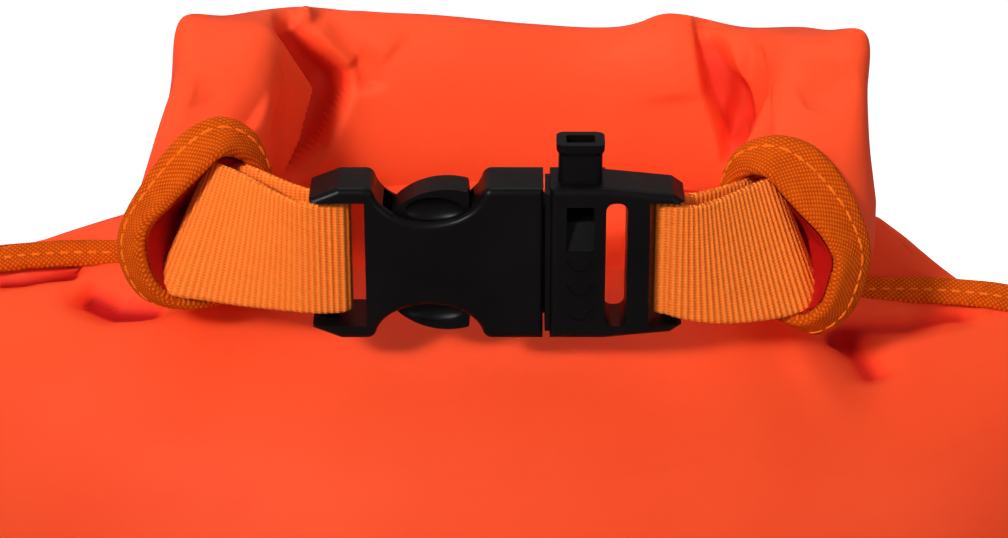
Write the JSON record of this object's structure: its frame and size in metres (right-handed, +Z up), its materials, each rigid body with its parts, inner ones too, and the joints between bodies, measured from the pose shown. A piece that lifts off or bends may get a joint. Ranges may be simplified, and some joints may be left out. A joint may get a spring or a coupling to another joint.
{
  "type": "dry bag",
  "caption": "Roll-top dry bag with bound side seams, its rolled mouth bent round and held by a webbing strap with a side-release whistle buckle.",
  "frame": {"origin": "centre of the underside of the base", "axes": "+Z up through the roll, front face towards -Y, +X to the right of the front"},
  "size_m": [0.3, 0.152, 0.4402],
  "materials": {
    "shell_fabric": "coated fabric, smooth, soft satin",
    "binding_tape": "twill-woven binding tape",
    "webbing": "ribbed flat-woven webbing",
    "thread": "sewing thread",
    "stiffener_plastic": "flexible plastic strip",
    "buckle_plastic": "moulded acetal, soft satin"
  },
  "bodies": {
    "bag": {"front_panel": "shell_fabric", "back_panel": "shell_fabric", "base_panel": "shell_fabric", "base_binding": "binding_tape", "side_binding_left": "binding_tape", "side_binding_right": "binding_tape", "roll_middle": "shell_fabric", "stiffener_middle": "stiffener_plastic"},
    "left_end": {"roll_end_left": "shell_fabric", "stiffener_left": "stiffener_plastic", "ear_binding_left": "binding_tape", "webbing_left": "webbing", "bar_tack_left": "thread", "buckle_socket": "buckle_plastic"},
    "right_end": {"roll_end_right": "shell_fabric", "stiffener_right": "stiffener_plastic", "ear_binding_right": "binding_tape", "webbing_right": "webbing", "bar_tack_right": "thread", "whistle_plug": "buckle_plastic"},
    "upper_latch": {"latch_arm_upper": "buckle_plastic"},
    "lower_latch": {"latch_arm_lower": "buckle_plastic"}
  },
  "joints": [
    {"name": "unclip_left", "type": "slide", "parent": "bag", "child": "left_end", "axis": [-1, 0, 0], "range_m": [0, 0.032], "deforming": ["latch_arm_upper", "latch_arm_lower"]},
    {"name": "unclip_right", "type": "slide", "parent": "bag", "child": "right_end", "axis": [1, 0, 0], "range_m": [0, 0.032], "deforming": ["latch_arm_upper", "latch_arm_lower"]},
    {"name": "squeeze_upper", "type": "hinge", "parent": "right_end", "child": "upper_latch", "pos_m": [0.0078, -0.04625, 0.41491], "axis": [0, -0.9903, -0.1392], "range_deg": [0, 8], "stiffness_Nm_per_rad": 2},
    {"name": "squeeze_lower", "type": "hinge", "parent": "right_end", "child": "lower_latch", "pos_m": [0.0078, -0.04375, 0.39709], "axis": [0, 0.9903, 0.1392], "range_deg": [0, 8], "stiffness_Nm_per_rad": 2}
  ]
}
